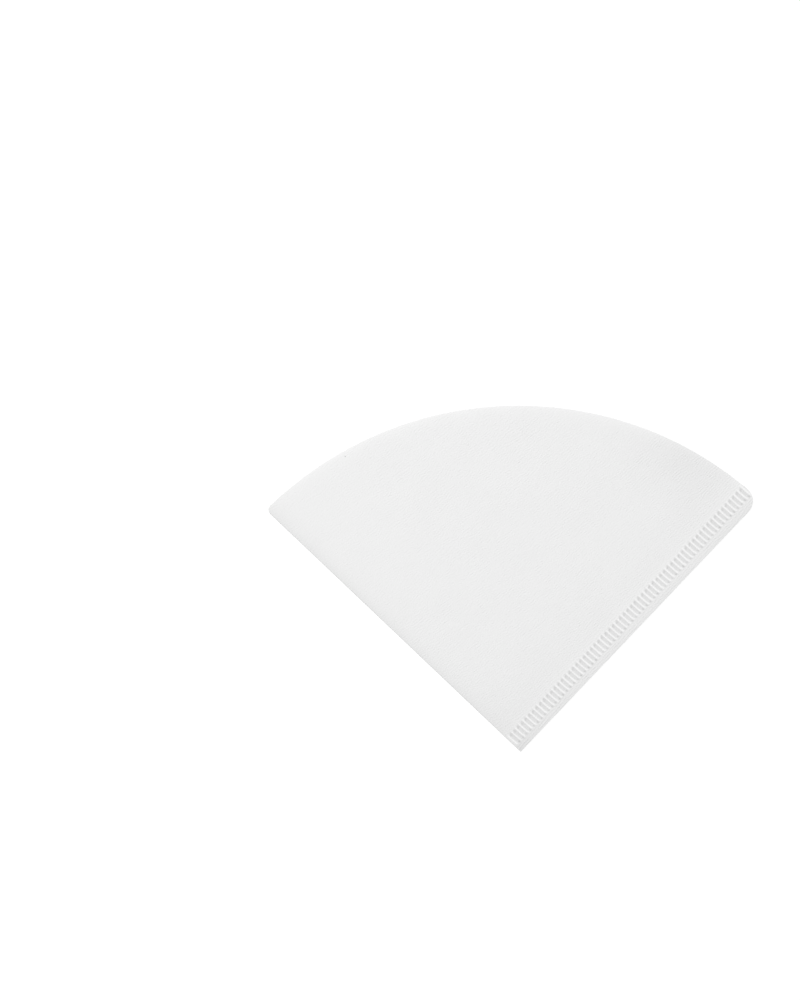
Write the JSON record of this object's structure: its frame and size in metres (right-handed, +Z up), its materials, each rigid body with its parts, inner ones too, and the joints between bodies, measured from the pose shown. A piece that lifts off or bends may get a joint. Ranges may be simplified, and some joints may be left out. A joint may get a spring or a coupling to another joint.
{
  "type": "paper coffee filter",
  "caption": "Flat-folded paper cone filter with one folded side, one crimped seam and an open curved mouth, used to hold ground coffee in a cone dripper.",
  "frame": {"origin": "under the middle of the folded sheet's outline, on the face it lies on", "axes": "+Z up, away from the lower ply; -Y towards the folded and crimped sides' common tip; +X towards the corner of the crimped side and the mouth"},
  "size_m": [0.1724, 0.1232, 0.0035],
  "materials": {
    "filter_paper": "creped, matte, off-white"
  },
  "bodies": {
    "root": {"filter_paper": "filter_paper"}
  },
  "joints": []
}
